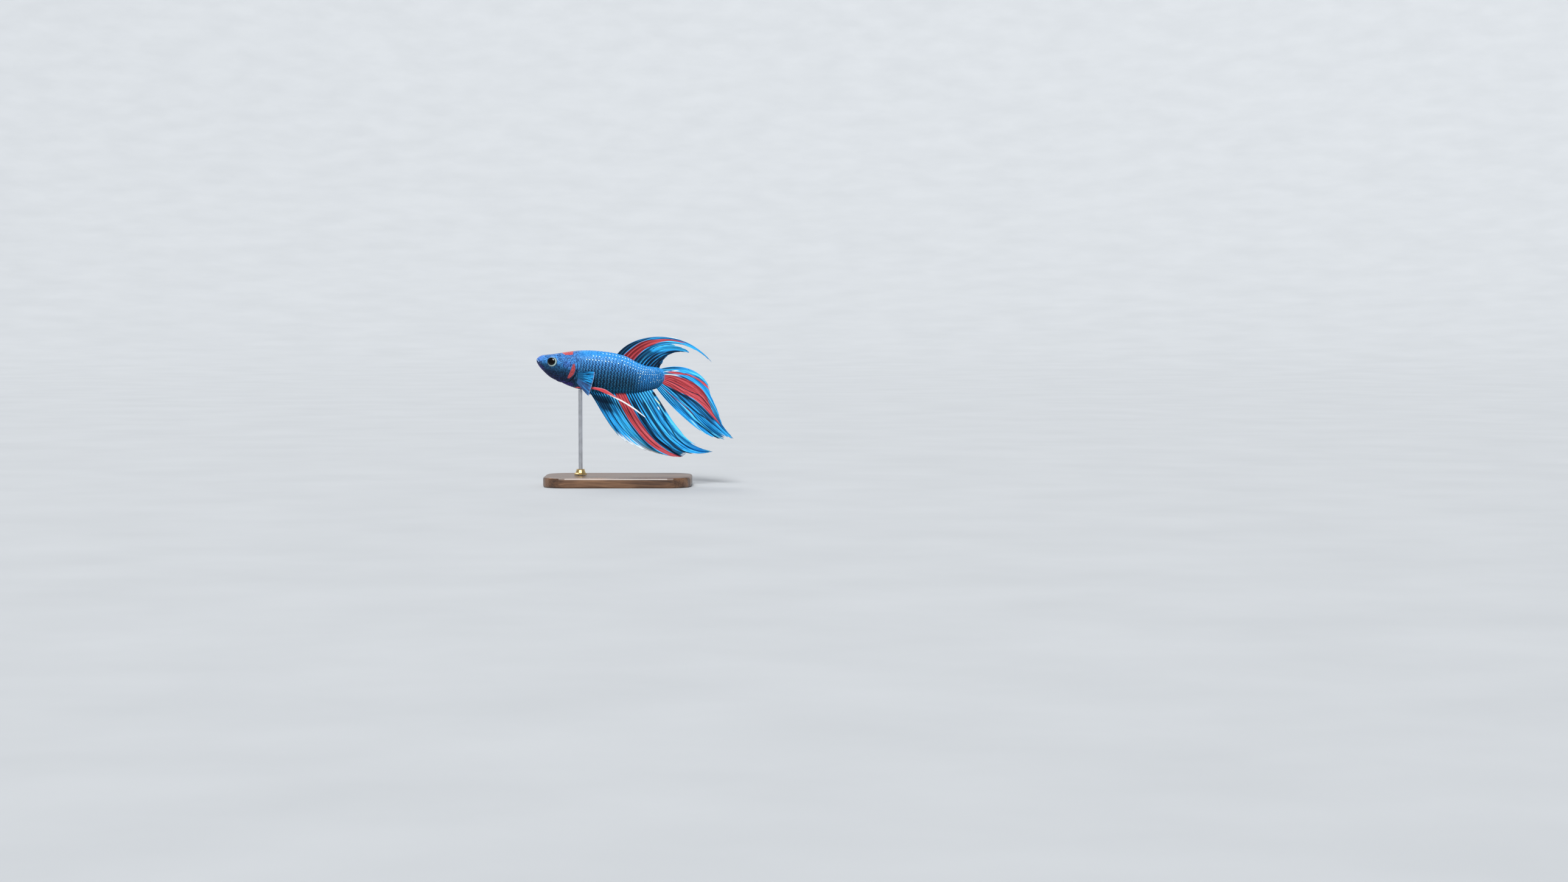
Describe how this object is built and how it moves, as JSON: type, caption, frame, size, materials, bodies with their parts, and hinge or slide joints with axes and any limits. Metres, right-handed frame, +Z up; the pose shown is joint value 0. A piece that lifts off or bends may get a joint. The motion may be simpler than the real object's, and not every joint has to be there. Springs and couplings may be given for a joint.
{
  "type": "betta fish model",
  "caption": "Life-size still model of a male betta fish with long veil fins, held over a flat base by a rod.",
  "frame": {"origin": "centre of the whole model's footprint box, on the surface it stands on", "axes": "+X from the head towards the tail, -Y out of the fish's left flank, +Z up"},
  "size_m": [0.078, 0.034, 0.0588],
  "materials": {
    "skin": "satin blue scales over dark navy skin, with red on the nape and the gill covers",
    "fin": "satin blue rays with bands of red ones and dark webs, whitish at some tips",
    "eye": "wet gloss, black pupil in a narrow pale iris",
    "base_wood": "oiled walnut",
    "rod_steel": "satin",
    "collar_brass": "satin, turned"
  },
  "bodies": {
    "root": {"head": "skin", "lower_jaw": "skin", "gill_cover_left": "skin", "gill_cover_right": "skin", "trunk": "skin", "tail_stalk": "skin", "eye_left": "eye", "eye_right": "eye", "dorsal_fin": "fin", "caudal_fin": "fin", "anal_fin": "fin", "pectoral_fin_left": "fin", "pectoral_fin_right": "fin", "pelvic_fin_left": "fin", "pelvic_fin_right": "fin", "stand_base": "base_wood", "stand_rod": "rod_steel", "stand_collar": "collar_brass"}
  },
  "joints": []
}
